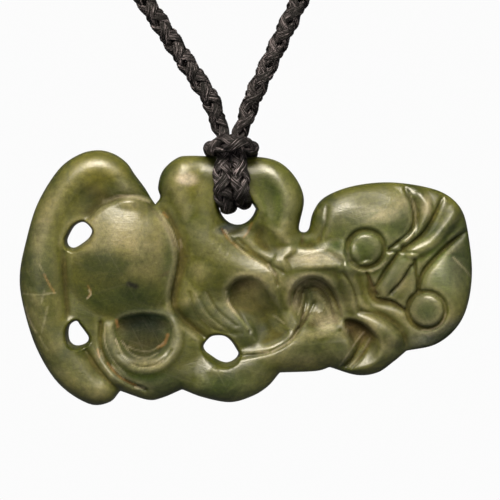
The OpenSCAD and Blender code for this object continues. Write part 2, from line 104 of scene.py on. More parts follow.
def half_hitch(side, end_x):
    """One half of the hitch: down the front, round the bridge, back over the top and across."""
    in_x = side * eye_lean + eye_x
    turn_x = (in_x + strand_x) / 2
    in_z = -bridge_h - cord_gap - eye_r - (eye_drop if side < 0 else 0)
    half_in = (1 + eye_squeeze) / 2
    # Columns: x, y and z from the top of the bridge, and the cord's girth as a share of its own
    rows = [
        (end_x, tail_y, v_end, 1),
        (end_x * 0.45 + 0.75, tail_y, 6.4, 0.9),
        (tuck_x + 0.12, tail_y, 3.9, 0.8),
        (tuck_x, tail_y, bar_z - 0.4, squeezed),
        (tuck_x + 0.26, (tail_y - leg_y) / 2 - 0.1, -1, 0.9),
        (strand_x, -leg_y, -3, 1),
        (strand_x, -leg_y, 0.8 - bridge_h, 1),
        (turn_x, 0.9 - leg_y, in_z + 0.6, half_in),
        (in_x, 2.9 - leg_y, in_z, eye_squeeze),
        (in_x, leg_y - 2.9, in_z, eye_squeeze),
        (turn_x, leg_y - 0.9, in_z + 0.6, half_in),
        (strand_x, leg_y, 0.8 - bridge_h, 1),
        (strand_x + 0.15, leg_y, -3, 0.95),
        (side_x - 0.5, leg_y - 1, -0.1, 0.85),
        (side_x, leg_y - 3.2, bar_z - 0.2, squeezed),
        (side_x, tail_y + 1.5, bar_z, squeezed),
        (side_x - 0.4, bar_y + 1.1, bar_z + 0.2, 0.78),
        (tuck_x * 1.1, bar_y - 0.25, bar_z + 1.1, 0.92),
    ]
    return [(hang[0] + side * x, hang[1] + y, hang[2] + z, squeeze) for x, y, z, squeeze in rows]


def bend(a, slope_a, b, slope_b, steps):
    """Points of a smooth bend from a up to b, with a slope at each end."""
    return [a * (2 * t**3 - 3 * t**2 + 1) + slope_a * (t**3 - 2 * t**2 + t)
            + b * (3 * t**2 - 2 * t**3) + slope_b * (t**3 - t**2) for t in np.arange(steps) / steps]


def smooth_line(points, steps):
    """A smooth line through points, which may have any number of columns."""
    points = np.array(points, float)
    last = len(points) - 1
    made = []
    for i in range(last):
        a, b = points[i], points[i + 1]
        slope_a = (b - points[max(i - 1, 0)]) / (1 if i == 0 else 2)
        slope_b = (points[min(i + 2, last)] - a) / (1 if i == last - 1 else 2)
        made += bend(a, slope_a, b, slope_b, steps)
    return np.array(made + [points[last]])


route_steps = 30


def neck_line(end_x, route, side):
    """The neck cord from the top of the hitch to the knot at the nape."""
    first = hang + [end_x, tail_y, v_end]
    rows = [tuple(first)] + route + [(side * knot_l / 2, 0, 0)]
    return smooth_line([row + (1,) for row in rows], route_steps)


left_neck = neck_line(-left_end, left_route, -1)[::-1]
hitch_line = smooth_line(half_hitch(-1, left_end) + half_hitch(1, right_end)[::-1], route_steps)
right_neck = neck_line(right_end, right_route, 1)


def run_of(line):
    """Distance along a line at each of its points."""
    return np.concatenate([[0], np.cumsum(np.linalg.norm(np.diff(line[:, :3], axis=0), axis=1))])


# Distances along the whole cord where the hitch begins and ends
hitch_from = run_of(left_neck)[-1]
hitch_to = hitch_from + run_of(hitch_line)[-1]
whole = np.concatenate([left_neck, hitch_line[1:], right_neck[1:]])
whole_run = run_of(whole)
tick = 0.1
ticks = np.arange(0, whole_run[-1], tick)
cord_line = np.stack([np.interp(ticks, whole_run, whole[:, k]) for k in range(4)], 1)

# The route's bends are eased, over a number of ticks. Both ends go on straight meanwhile.
ease_width = 7
ease_reach = 24
ease = np.exp(-0.5 * (np.arange(-ease_reach, ease_reach + 1) / ease_width) ** 2)
ease /= ease.sum()
before = 2 * cord_line[0] - cord_line[ease_reach:0:-1]
after = 2 * cord_line[-1] - cord_line[-2:-2 - ease_reach:-1]
padded = np.concatenate([before, cord_line, after])
cord_line = np.stack([np.convolve(padded[:, k], ease, "valid") for k in range(4)], 1)

# Directions along the cord and straight across it, carried on from one tick to the next
ahead = np.gradient(cord_line[:, :3], axis=0)
ahead /= np.linalg.norm(ahead, axis=1, keepdims=True)
across = np.zeros_like(ahead)
across[0] = (0, 0, 1)
for i in range(len(ahead)):
    carried = across[max(i - 1, 0)]
    carried = carried - ahead[i] * (carried @ ahead[i])
    across[i] = carried / np.linalg.norm(carried)


def mesh_object(name, points, faces, coordinates=None):
    """A smooth object of points in millimetres. Coordinates are a pair for each point."""
    mesh = bpy.data.meshes.new(name)
    mesh.from_pydata((np.asarray(points) * MM).tolist(), [], faces)
    mesh.shade_smooth()
    if coordinates is not None:
        corners = np.zeros(len(mesh.loops), np.int32)
        mesh.loops.foreach_get("vertex_index", corners)
        layer = mesh.uv_layers.new(name="grain")
        layer.uv.foreach_set("vector", np.asarray(coordinates, np.float32)[corners].ravel())
    made = bpy.data.objects.new(name, mesh)
    bpy.context.scene.collection.objects.link(made)
    return made


def skin(rings, sides, start):
    """Faces of a closed tube of rings, whose points start at a number."""
    faces = []
    for r in range(rings - 1):
        a = start + r * sides
        faces += [(a + k, a + (k + 1) % sides, a + sides + (k + 1) % sides, a + sides + k)
                  for k in range(sides)]
    faces.append(tuple(start + k for k in reversed(range(sides))))
    faces.append(tuple(start + (rings - 1) * sides + k for k in range(sides)))
    return faces


bulge_pitch = 4.2
braid_lean = math.radians(20)
filaments = 12
filament_twist = 0.22
strand_points = 36
neck_step = 0.5
hitch_step = 0.3

# Shares of the cord's radius
strand_mid = 0.55
strand_rise = 0.15
strand_thick = 0.42
strand_wide = 0.74
filament_rise = 0.07

# How unevenly the strands lie. Columns: rise, pace along the cord, shift from strand to strand.
wanders = [(0.03, 0.9, 2.1), (0.025, 2.3, 4)]


def braid(name, start, end, step):
    """Four strands plaited round between two distances along the cord."""
    run = np.linspace(start, end, round((end - start) / step) + 1)
    line = np.stack([np.interp(run, ticks, cord_line[:, k]) for k in range(4)], 1)
    n = np.stack([np.interp(run, ticks, across[:, k]) for k in range(3)], 1)
    t = np.stack([np.interp(run, ticks, ahead[:, k]) for k in range(3)], 1)
    b = np.cross(t, n)
    size = line[:, 3:] * cord_d / 2
    swing = math.pi * run / bulge_pitch
    round_strand = 2 * math.pi * np.arange(strand_points) / strand_points
    points, faces, grain = [], [], []
    for k in range(4):
        way = 1 if k < 2 else -1
        angle = way * swing + math.pi * (k % 2) + braid_lean
        wander = sum(rise * np.sin(run * pace + shift * k) for rise, pace, shift in wanders)
        lift = strand_mid + strand_rise * way * np.cos(2 * swing) + wander
        outward = n * np.cos(angle)[:, None] + b * np.sin(angle)[:, None]
        sideways = b * np.cos(angle)[:, None] - n * np.sin(angle)[:, None]
        middle = line[:, :3] + outward * lift[:, None] * size
        turn = round_strand[None, :] + filament_twist * run[:, None]
        lobes = 1 + filament_rise * np.cos(filaments * turn)
        up = strand_thick * np.cos(round_strand) * lobes
        out = strand_wide * np.sin(round_strand) * lobes
        ring = (middle[:, None] + outward[:, None] * (up * size)[..., None]
                + sideways[:, None] * (out * size)[..., None])
        faces += skin(len(run), strand_points, len(points) * len(run) * strand_points)
        points.append(ring.reshape(-1, 3))
        along = np.repeat(run[:, None], strand_points, 1)
        filament = turn * filaments / (2 * math.pi) + 10 * k
        grain.append(np.stack([filament, along], -1).reshape(-1, 2))
    return mesh_object(name, np.concatenate(points), faces, np.concatenate(grain))


def shader_node(tree, kind, inputs=None, **settings):
    """A node with its inputs linked or set."""
    made = tree.nodes.new("ShaderNode" + kind)
    for name, value in settings.items():
        setattr(made, name, value)
    for socket, value in (inputs or {}).items():
        if isinstance(value, bpy.types.NodeSocket):
            tree.links.new(value, made.inputs[socket])
        else:
            made.inputs[socket].default_value = value
    return made


def new_material(name, **settings):
    """A material with a principled shader whose sockets are set by name."""
    material = bpy.data.materials.new(name)
    material.use_nodes = True
    shader = material.node_tree.nodes["Principled BSDF"]
    for socket, value in settings.items():
        shader.inputs[socket.replace("_", " ")].default_value = value
    return material, material.node_tree, shader


def blended(tree, share, a, b, **settings):
    """Colour a turning to colour b, or mixed with it in the way of the settings."""
    return shader_node(tree, "Mix", {0: share, 6: a, 7: b}, data_type="RGBA", **settings).outputs[2]


def combined(tree, operation, a, b):
    """Two values in one operation, such as MULTIPLY or ADD."""
    return shader_node(tree, "Math", {0: a, 1: b}, operation=operation).outputs[0]


def ranged(tree, value, low, high, to_low=0.0, to_high=1.0):
    """A value stretched from one range to another and kept inside it."""
    made = shader_node(tree, "MapRange", {"Value": value, "From Min": low, "From Max": high,
                                          "To Min": to_low, "To Max": to_high})
    return made.outputs["Result"]


def noise(tree, place, scale, detail=3.0, roughness=0.5, distortion=0.0):
    """Cloudy noise from 0 to 1."""
    made = shader_node(tree, "TexNoise", {"Vector": place, "Scale": scale, "Detail": detail,
                                          "Roughness": roughness, "Distortion": distortion})
    return made.outputs["Fac"]


def stretched(tree, place, scale):
    """Coordinates multiplied along each axis."""
    return shader_node(tree, "Mapping", {"Vector": place, "Scale": scale}).outputs["Vector"]


# The thread's filaments show less in the eye, where this is painted shade on the loops, and above
# the hitch. Columns: heights above the top of the bridge where that begins and ends, and how
# bright the filaments are there.
eye_shade = (-6.5, -2.5, 0.25, 1.0)
above_hitch = (0.5, 2.5, 1.0, 0.55)


def waxed_thread():
    """Black waxed thread with fine grey-brown filaments; painted shade dims them in the eye."""
    material, tree, shader = new_material("waxed_thread", Roughness=0.5, Specular_IOR_Level=0.22)
    grain = shader_node(tree, "UVMap", uv_map="grain").outputs["UV"]
    streak = noise(tree, stretched(tree, grain, (3.0, 0.4, 1)), 1.0, 4.0, 0.72)
    patch = noise(tree, stretched(tree, grain, (0.3, 0.6, 1)), 1.0, 2.0)
    light = combined(tree, "MULTIPLY", ranged(tree, streak, 0.54, 0.62),
                     ranged(tree, patch, 0.28, 0.52))
    place = shader_node(tree, "TexCoord").outputs["Object"]
    height = shader_node(tree, "SeparateXYZ", {"Vector": place}).outputs["Z"]
    for low, high, at_low, at_high in (eye_shade, above_hitch):
        bright = ranged(tree, height, (hang[2] + low) * MM, (hang[2] + high) * MM, at_low, at_high)
        light = combined(tree, "MULTIPLY", light, bright)
    colour = blended(tree, light, (0.002, 0.0018, 0.002, 1), (0.50, 0.43, 0.47, 1))
    tree.links.new(colour, shader.inputs["Base Color"])
    bump = shader_node(tree, "Bump", {"Height": streak, "Strength": 1.0, "Distance": 0.0003})
    tree.links.new(bump.outputs["Normal"], shader.inputs["Normal"])
    return material


thread = waxed_thread()
for name, start, end, step in (("braid_left", 0, hitch_from, neck_step),
                               ("braid_hitch", hitch_from, hitch_to, hitch_step),
                               ("braid_right", hitch_to, ticks[-1], neck_step)):
    piece = braid(name, start, end, step)
    piece.data.materials.append(thread)
    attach(piece, "root")
    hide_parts({"braid_left": "cord_left", "braid_hitch": "hitch",
                        "braid_right": "cord_right"}[name])

# The knot at the nape
# The two ends of the cord lie together and are whipped with eight turns of finer waxed thread,
# which close the loop where it hangs on the neck.
knot_d = 6.4
whip_d = 1.06
whip_turns = 8
whip_sides = 12
whip_steps = 48
core_sides = 40
plies = 2
ply_rise = 0.08
ply_twist = 3

# Depths in shares of the whipping's own thickness: of the core's surface, and of the tucked ends
core_under = 0.8
tuck_under = 0.9
tuck_pace = 1.5

# Sections of the core. Columns: place along it as a share of its length, radius as a share.
core_sections = [
    (-0.5, 0.05), (-0.5, 0.62), (-0.47, 0.8), (-0.4, 0.93), (-0.2, 1), (0, 1), (0.2, 1),
    (0.4, 0.93), (0.47, 0.8), (0.5, 0.62), (0.5, 0.05),
]


def whipped_knot():
    """A barrel of the cord's own thread with the whipping wound round it."""
    core_r = knot_d / 2 - whip_d * core_under
    spin = 2 * math.pi * np.arange(core_sides) / core_sides
    core = np.array([(x * knot_l, core_r * share * math.cos(a), core_r * share * math.sin(a))
                     for x, share in core_sections for a in spin])
    faces = [tuple(reversed(f)) for f in skin(len(core_sections), core_sides, 0)]
    grain = [(k % core_sides, p[0]) for k, p in enumerate(core)]
    turn = np.linspace(0, 2 * math.pi * whip_turns, whip_turns * whip_steps + 1)
    share = turn / turn[-1]
    tuck = np.clip(np.minimum(share, 1 - share) * whip_turns * tuck_pace, 0, 1)
    radius = (knot_d / 2 - whip_d / 2 - 0.04) - (1 - tuck) * whip_d * tuck_under
    along = (share - 0.5) * (knot_l - whip_d)
    middle = np.stack([along, radius * np.cos(turn), radius * np.sin(turn)], 1)
    outward = np.stack([np.zeros_like(turn), np.cos(turn), np.sin(turn)], 1)
    side = np.array([1.0, 0, 0])
    round_thread = 2 * math.pi * np.arange(whip_sides) / whip_sides
    ply = 1 + ply_rise * np.cos(plies * (round_thread[None, :] + turn[:, None] * ply_twist))
    up = np.cos(round_thread) * ply * whip_d / 2
    out = np.sin(round_thread) * ply * whip_d / 2
    ring = middle[:, None] + outward[:, None] * up[..., None] + side * out[..., None]
    faces += skin(len(turn), whip_sides, len(core))
    grain += [(8 * k / whip_sides, turn[i] * knot_d / 2)
              for i in range(len(turn)) for k in range(whip_sides)]
    return mesh_object("whipped_knot", np.concatenate([core, ring.reshape(-1, 3)]), faces, grain)


knot = whipped_knot()
knot.data.materials.append(thread)
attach(knot, "root")
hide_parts("nape_knot")

# The stone
# A flat piece of nephrite, sawn, pierced, carved on its face with a crouching figure that lies on
# its side, and rubbed to a soft polish. Its back is plain.
stone_l = 80
stone_h = 45
stone_t = 9.2

# Both faces round down to a flat band along the rim. The eye has play beside the cord and room
# below it, and its corners are rounded by a share of its height.
rim_r = 3.6
hole_r = 0.5
rim_band = 1.4
eye_play = 0.7
eye_room = 2.1
eye_shift = 1.1
eye_round = 0.3
rim_steps = 6
carved_steps = 4

# The sketch of the figure that all places on the stone are taken from, in the sketch's own units
sketch_l = 452
sketch_h = 254
sketch_left = 20
sketch_low = 405
sketch_top_edge = 157.5
sketch_hitch = 231.5
unit = stone_l / sketch_l

# The slanting cut that takes the eye's upper right corner off, by a place on it and its way out
eye_cut = (251, 201)
eye_cut_way = (0.84, 0.54)

# Outline of the figure on the sketch. Columns: x, y, and 1 at a sharp corner.
outline = [
    (232, 157.5, 0), (262, 157.5, 0), (282, 164, 0), (297, 180, 0), (304, 200, 0), (299, 227, 0),
    (303.5, 232.5, 0), (309, 229, 0), (313, 213, 0), (324, 198, 0), (350, 187, 0), (385, 182.5, 0),
    (420, 186, 0), (446, 194.5, 0), (462, 211, 0), (469, 240, 0), (472, 275, 0), (467, 308, 0),
    (455, 330, 0), (435, 345, 0), (407, 351, 1), (394, 362, 0), (378, 373, 0), (357, 375.5, 0),
    (330, 367.5, 1), (316, 371.5, 0), (280, 373, 1), (268, 387, 0), (252, 397, 0), (230, 403, 0),
    (203, 398, 0), (182, 390, 1), (162, 398.5, 0), (147, 400.5, 0), (120, 391.5, 1), (109, 403, 0),
    (88, 404.5, 0), (58, 384, 0), (36, 348, 0), (23, 305, 0), (20, 275, 0), (26, 243, 0),
    (38, 204, 0), (59, 170, 0), (79, 155, 0), (98, 150.5, 0), (114, 154, 0), (127, 163, 0),
    (135, 174.5, 0), (145, 188, 0), (151, 198, 0), (155.5, 204.5, 1), (160.5, 197, 0),
    (158.5, 187, 0), (163, 171, 0), (176, 159, 0), (190, 156, 0),
]

# Pierced holes beside the eye, each an outline. Columns: x, y.
holes = [
    [(80, 222.5), (85, 222), (90, 226), (92.5, 231), (89, 238), (81, 244.5), (74, 248), (69, 246),
     (67.5, 240), (71, 232), (75, 226)],
    [(77, 321), (80, 325), (84.5, 331), (88.5, 337.5), (86.5, 343), (80.5, 346), (74, 346),
     (69.5, 342), (68, 335), (69, 327), (72.5, 322.5)],
    [(213, 336), (224, 336), (231, 341), (236, 348.5), (238.5, 354), (235, 360), (227, 363.5),
     (219, 361.5), (212, 357), (205.5, 352), (203.5, 346.5), (207, 340.5)],
]

# Swellings. Columns: x, y, half length, half width, turn, rise as a share of the thickness, and
# a power: 1 is a full dome with a crisp foot, 2 dies away softly.
mounds = [
    (124, 248, 64, 72, 0, 0.36, 1.3),
    (146, 358, 52, 50, 0, 0.16, 1),
    (226, 390, 58, 40, 0, 0.18, 1.5),
    (362, 348, 48, 36, 25, 0.16, 1.5),
    (358, 226, 58, 48, 8, 0.22, 1),
    (420, 250, 74, 80, 0, 0.08, 2),
    (450, 300, 38, 46, -10, 0.16, 1),
    (365, 247, 15.5, 15.5, 0, 0.05, 0.5),
    (426, 309, 17, 17, 0, 0.05, 0.5),
    (286, 345, 60, 34, 18, 0.06, 1.5),
]

# Rounded ridges. Columns: rise as a share of the thickness, width on the left of the line as it
# runs, width on its right, route.
ridges = [
    (0.19, 34, 40, [(134, 176), (116, 164), (90, 165), (66, 185), (50, 218), (42, 252), (39, 286),
                    (45, 325), (62, 358), (84, 384), (106, 396)]),
    (0.20, 26, 38, [(188, 160), (187, 196), (200, 234), (228, 262), (262, 274), (300, 268),
                    (340, 263)]),
    (0.18, 30, 24, [(258, 160), (284, 184), (290, 212), (280, 242)]),
    (0.09, 24, 24, [(196, 280), (204, 308), (236, 330)]),
    (0.10, 10, 14, [(348, 270), (353, 287), (364, 310), (396, 334)]),
    (0.12, 14, 36, [(240, 361), (270, 354), (297, 342), (328, 333)]),
    (0.11, 9, 9, [(460, 206), (446, 222), (430, 241), (412, 250)]),
    (0.07, 5, 7, [(420, 193), (427, 208), (418, 228), (404, 240)]),
    (0.07, 14, 14, [(408, 260), (386, 288)]),
    (0.035, 6, 6, [(109, 326), (114, 350), (131, 365), (151, 368), (171, 358), (180, 339),
                   (175, 320)]),
]

# Sunk hollows. Columns: depth as a share of the thickness, x and y of the deepest place, a power:
# 2 is a bowl, more is a flatter floor with steeper walls, and the outline.
hollows = [
    (0.34, 144, 337, 2.2, [(112, 326), (122, 315), (145, 311), (166, 314), (174, 326), (172, 344),
                           (162, 356), (145, 361), (128, 357), (117, 344)]),
    (0.34, 313, 287, 2.5, [(290, 305), (290, 290), (298, 279), (310, 274), (324, 277), (334, 288),
                           (341, 305), (342, 320), (330, 331), (312, 332), (298, 322)]),
    (0.32, 357, 331, 2.6, [(343, 319), (360, 320), (375, 331), (382, 346), (376, 360), (358, 368),
                           (338, 368), (350, 348)]),
    (0.24, 241, 288, 2.5, [(227, 299), (228, 286), (236, 277), (249, 274), (262, 279), (276, 300),
                           (290, 330), (284, 345), (262, 346), (248, 326), (234, 310)]),
    (0.13, 374, 293, 2, [(365, 271), (373, 285), (380, 297), (398, 302), (407, 311), (390, 309),
                         (373, 302), (366, 288)]),
    (0.10, 266, 243, 2, [(244, 230), (262, 222), (280, 234), (290, 246), (280, 258), (262, 250)]),
    (0.22, 234, 212, 1.2, [(211, 205), (214, 220), (223, 230), (235, 236), (248, 232), (256, 221),
                           (257, 206), (234, 192)]),
    (0.22, 220, 349, 1.2, [(200, 340), (203, 355), (213, 366), (228, 368), (240, 358), (234, 344),
                           (215, 338)]),
    (0.22, 82, 236, 1.2, [(71, 243), (75, 250), (85, 248), (94, 240), (95, 230), (87, 226),
                          (77, 233)]),
]

# Carved lines. Columns: depth as a share of the thickness, width on the left of the line as it
# runs, width on its right, route.
cuts = [
    (0.14, 26, 6, [(90, 216), (104, 203), (130, 195), (150, 199), (168, 215), (179, 240),
                   (180, 262), (173, 298), (180, 316), (204, 337)]),
    (0.07, 8, 12, [(66, 252), (66, 285), (69, 314)]),
    (0.13, 8, 12, [(86, 350), (97, 366), (110, 381), (120, 391)]),
    (0.07, 5, 4, [(101, 322), (101, 345), (110, 365), (128, 381), (146, 389)]),
    (0.03, 3, 4, [(120, 352), (132, 362), (146, 365), (160, 361), (171, 348)]),
    (0.055, 3, 4, [(221, 228), (232, 238), (244, 248), (264, 260), (274, 270), (278, 283)]),
    (0.035, 3, 4, [(238, 238), (250, 248), (267, 260), (283, 270)]),
    (0.06, 5, 5, [(303, 233), (302, 242)]),
    (0.022, 4, 5, [(190, 291), (195, 310), (210, 326), (236, 333)]),
    (0.014, 3, 3, [(200, 296), (210, 313), (226, 327), (242, 332)]),
    (0.018, 3, 4, [(208, 291), (218, 308), (236, 324)]),
    (0.07, 4, 5, [(305, 288), (306, 303), (300, 326), (287, 341), (267, 351), (241, 355)]),
    (0.05, 3, 4, [(315, 303), (307, 318), (297, 331)]),
    (0.05, 4, 4, [(342, 270), (352, 285), (358, 306)]),
    (0.09, 8, 7, [(360, 310), (384, 316), (401, 331), (408, 349)]),
    (0.09, 7, 3, [(404, 188), (412, 208), (410, 228), (388, 247)]),
    (0.04, 3, 3, [(413, 199), (418, 215), (414, 232), (400, 246)]),
    (0.08, 5, 4, [(441, 198), (431, 219), (421, 233), (402, 248)]),
    (0.13, 7, 6, [(468, 230), (451, 241), (434, 257), (422, 272), (418, 290)]),
    (0.09, 5, 4, [(396, 253), (386, 268), (376, 285)]),
    (0.08, 4, 4, [(414, 259), (416, 275), (418, 290)]),
    (0.05, 3, 3, [(388, 250), (402, 250), (414, 251)]),
    (0.08, 9, 2.5, [(410, 264), (401, 279), (390, 291)]),
    (0.07, 5, 2.5, [(366, 272), (371, 283), (378, 294)]),
    (0.08, 2.5, 8, [(379, 297), (392, 300), (404, 308)]),
    (0.04, 6, 4, [(326, 206), (324, 222), (318, 238)]),
    (0.04, 4, 5, [(227, 288), (229, 300), (242, 316), (250, 330)]),
    (0.04, 3, 3, [(294, 302), (297, 288), (308, 280), (322, 282), (332, 293), (338, 308)]),
    (0.03, 3, 3, [(300, 306), (303, 294), (312, 287), (321, 290), (329, 301), (334, 316)]),
    (0.05, 4, 5, [(366, 334), (356, 352), (346, 366)]),
    (0.04, 3, 4, [(371, 340), (362, 356), (352, 367)]),
]

# Rings cut round the eyes. Columns: x, y, radius, half width, depth as a share of the thickness.
rings = [
    (365, 247, 18.5, 3.6, 0.085),
    (426, 309, 18.8, 3.2, 0.085),
]

# Places rubbed flat, each an outline.
flats = [
    [(284, 256), (300, 246), (329, 247), (344, 259), (340, 265), (312, 267), (291, 267)],
]
flat_edge = 0.4

# Heights of the plain front and of the back, as shares of the thickness
front_share = 0.25
back_share = 0.39


def spot(x, y):
    """A point of the sketch, in millimetres from the figure's lower left corner."""
    return np.array([(x - sketch_left) * stone_l / sketch_l, (sketch_low - y) * stone_h / sketch_h])


def closed_line(rows, steps):
    """A smooth closed line through rows of the sketch, broken at its sharp corners."""
    p = [spot(row[0], row[1]) for row in rows]
    sharp = [len(row) > 2 and row[2] == 1 for row in rows]
    n = len(p)
    made = []
    for i in range(n):
        j = (i + 1) % n
        a, b = p[i], p[j]
        slope_a = b - a if sharp[i] else (b - p[i - 1]) / 2
        slope_b = b - a if sharp[j] else (p[(i + 2) % n] - a) / 2
        made += bend(a, slope_a, b, slope_b, steps)
    return np.array(made)


def to_line(places, line):
    """Distance to a line, and the side of it: -1 on the right as it runs."""
    nearest = np.full(len(places), np.inf)
    side = np.ones(len(places))
    for a, b in zip(line[:-1], line[1:]):
        e = b - a
        w = places - a
        t = np.clip(w @ e / (e @ e), 0, 1)
        o = w - t[:, None] * e
        d = (o * o).sum(1)
        closer = d < nearest
        nearest[closer] = d[closer]
        side[closer] = np.where(e[0] * o[closer, 1] - e[1] * o[closer, 0] < 0, -1, 1)
    return np.sqrt(nearest), side


def inside_line(places, line):
    """Distance into a closed line, below 0 outside it."""
    ring = np.concatenate([line, line[:1]])
    inside = np.zeros(len(places), bool)
    x, y = places[:, 0], places[:, 1]
    for a, b in zip(ring[:-1], ring[1:]):
        if a[1] != b[1]:
            crossing_x = (b[0] - a[0]) * (y - a[1]) / (b[1] - a[1]) + a[0]
            inside ^= ((a[1] > y) != (b[1] > y)) & (x < crossing_x)
    distance_in = to_line(places, ring)[0]
    return np.where(inside, distance_in, -distance_in)


def domed(places, x, y, half_l, half_w, turn):
    """How near places lie to the middle of a turned oval: 1 there, and 0 from its edge outwards."""
    o = places - spot(x, y)
    c, s = math.cos(math.radians(turn)), math.sin(math.radians(turn))
    out = np.hypot((o[:, 0] * c + o[:, 1] * s) / (half_l * unit),
                   (o[:, 1] * c - o[:, 0] * s) / (half_w * unit))
    return 1 - np.minimum(out, 1) ** 2


eye_w = 2 * (eye_x + eye_r + eye_play)
eye_h = cord_gap + 2 * eye_r + eye_drop + eye_room
eye_corner = eye_round * eye_h
top_edge = spot(0, sketch_top_edge)[1]
hitch_u = spot(sketch_hitch, 0)[0]
eye_mid = np.array([hitch_u + eye_shift, top_edge - bridge_h - eye_corner])
rim_line = closed_line(outline, rim_steps)
hole_lines = [closed_line(rows, rim_steps) for rows in holes]


def to_holes(places):
    """Distance to the nearest hole's edge, below 0 inside a hole."""
    # Above its middle the eye is a slot with round corners, and below it half an oval.
    o = np.abs(places - eye_mid) - np.array([eye_w / 2 - eye_corner, 0])
    above = np.hypot(*np.maximum(o, 0).T) + np.minimum(o.max(1), 0) - eye_corner
    bowl = (places - eye_mid) / np.array([eye_w / 2, eye_h - eye_corner])
    below = (np.hypot(*bowl.T) - 1) * eye_w / 2
    nearest = np.where(places[:, 1] > eye_mid[1], above, below)
    nearest = np.maximum(nearest, (places - spot(*eye_cut)) @ np.array(eye_cut_way))
    for line in hole_lines:
        nearest = np.minimum(nearest, -inside_line(places, line))
    return nearest


def line_shape(places, rows, fall):
    """Sum of ridges or cuts, each falling away from its line."""
    total = np.zeros(len(places))
    for rise, left, right, route in rows:
        line = smooth_line([spot(*point) for point in route], carved_steps)
        reach = max(left, right) * unit
        near = np.all((places > line.min(0) - reach) & (places < line.max(0) + reach), axis=1)
        off, side = to_line(places[near], line)
        share = np.minimum(off / (np.where(side < 0, right, left) * unit), 1)
        total[near] += rise * fall(share)
    return total


def soft_forms(places):
    """The broad forms of the face, as a share of the thickness."""
    total = np.full(len(places), front_share)
    for x, y, half_l, half_w, turn, rise, power in mounds:
        total += rise * domed(places, x, y, half_l, half_w, turn) ** power
    total += line_shape(places, ridges, lambda share: (1 - share**2) ** 1.5)
    for rows in flats:
        d = inside_line(places, np.array([spot(*row) for row in rows]))
        within = np.column_stack([places[d > 0], np.ones((d > 0).sum())])
        tilt = np.linalg.lstsq(within, total[d > 0], rcond=None)[0]
        plane = np.column_stack([places, np.ones(len(places))]) @ tilt
        total += np.clip(d / flat_edge + 0.3, 0, 1) * (plane - total)
    for x, y, radius, half, depth in rings:
        share = np.abs(np.hypot(*(places - spot(x, y)).T) / unit - radius) / half
        total -= depth * np.maximum(1 - share**2, 0)
    for depth, x, y, power, rows in hollows:
        line = closed_line(rows, carved_steps)
        near = np.flatnonzero(np.all((places > line.min(0)) & (places < line.max(0)), axis=1))
        d = np.maximum(inside_line(places[near], line), 0)
        a = np.hypot(*(places[near] - spot(x, y)).T)
        total[near] -= np.where(d > 0, depth * (1 - (a / (a + d + 1e-9)) ** power), 0)
    return total


def softened(grid, width):
    """A grid smoothed by a width in cells."""
    reach = math.ceil(3 * width)
    weights = np.exp(-0.5 * (np.arange(-reach, reach + 1) / width) ** 2)
    weights /= weights.sum()
    for _ in range(2):
        edged = np.pad(grid, ((reach, reach), (0, 0)), "edge")
        grid = sum(w * edged[k:k + len(grid)] for k, w in enumerate(weights)).T
    return grid


# The stone is worked out on a grid of cells. Rubbing softens its broad forms over a width in
# cells, before the lines are cut in.
cell = 0.24
rubbed_cells = 0.8
columns = math.ceil(stone_l / cell) + 3
rows_up = math.ceil(stone_h / cell) + 3
grid_x, grid_y = np.meshgrid((np.arange(columns) - 1) * cell, (np.arange(rows_up) - 1) * cell)
places = np.stack([grid_x.ravel(), grid_y.ravel()], 1)
rim_in = inside_line(places, rim_line)
hole_in = to_holes(places)
depth_in = np.minimum(rim_in, hole_in)
forms = softened(soft_forms(places).reshape(rows_up, columns), rubbed_cells).ravel()
forms -= line_shape(places, cuts, lambda share: (1 - share) ** 2)


def rounding(d, radius):
    """Quarter round from 0 at an edge to 1 at the radius."""
    return np.sqrt(np.clip(1 - (1 - np.clip(d, 0, radius) / radius) ** 2, 0, 1))


def worn_slope(d, width):
    """Nearly straight slope from 0 at a hole's edge to 1 at its width."""
    return np.clip(d / width, 0, 1) ** 0.8


# Under the hitch the stone is the plain bridge. From there it thickens over a width.
bridge_fade = 2 * cord_d
beside = np.abs(places[:, 0] - hitch_u) - 2 * strand_x - cord_gap
below = eye_mid[1] + eye_corner - 1 - places[:, 1]
away = np.clip(np.maximum(np.maximum(beside, below), 0) / bridge_fade, 0, 1)
under_hitch = 1 - away**2 * (3 - 2 * away)
edge_round = rounding(rim_in, rim_r) * worn_slope(hole_in, hole_r)
front_top = stone_t * forms * (1 - under_hitch) + bridge_t / 2 * under_hitch
back_top = stone_t * back_share * (1 - under_hitch) + bridge_t / 2 * under_hitch
front = rim_band / 2 + (front_top - rim_band / 2) * edge_round
back = rim_band / 2 + (back_top - rim_band / 2) * edge_round


